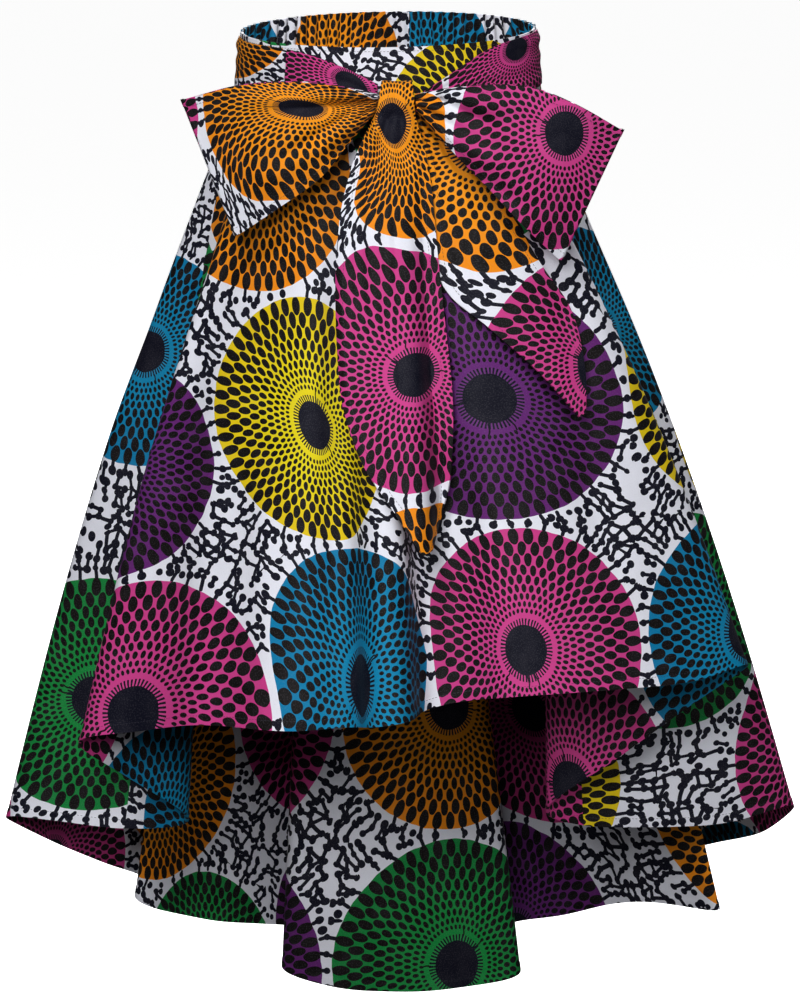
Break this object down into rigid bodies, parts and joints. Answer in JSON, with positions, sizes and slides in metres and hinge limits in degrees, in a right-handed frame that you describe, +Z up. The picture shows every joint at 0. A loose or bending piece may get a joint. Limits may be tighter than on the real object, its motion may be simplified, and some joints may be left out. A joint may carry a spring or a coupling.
{
  "type": "high-low wrap-tie skirt",
  "caption": "Flared cotton skirt, short in front and long behind, with a gathered back waistband and side ties knotted in front in a bow.",
  "frame": {"origin": "middle of the waist opening, at the waistband's top edge, where the wearer's waist holds the skirt", "axes": "+Z up, the front of the skirt faces -Y, +X to the right of someone who looks at the front"},
  "size_m": [0.7701, 0.5747, 0.984],
  "materials": {
    "printed_cotton": "printed plain weave with a slight wax sheen",
    "band_cotton": "printed plain weave over an interlining and elastic",
    "tie_cotton": "printed plain weave with narrow stitched hems"
  },
  "bodies": {
    "root": {"waistband_front": "band_cotton", "waistband_back": "band_cotton", "skirt_front": "printed_cotton", "skirt_back": "printed_cotton", "tie_left": "tie_cotton", "tie_right": "tie_cotton", "bow_knot": "tie_cotton", "loop_left": "tie_cotton", "loop_right": "tie_cotton", "tail_left": "tie_cotton", "tail_right": "tie_cotton"}
  },
  "joints": []
}
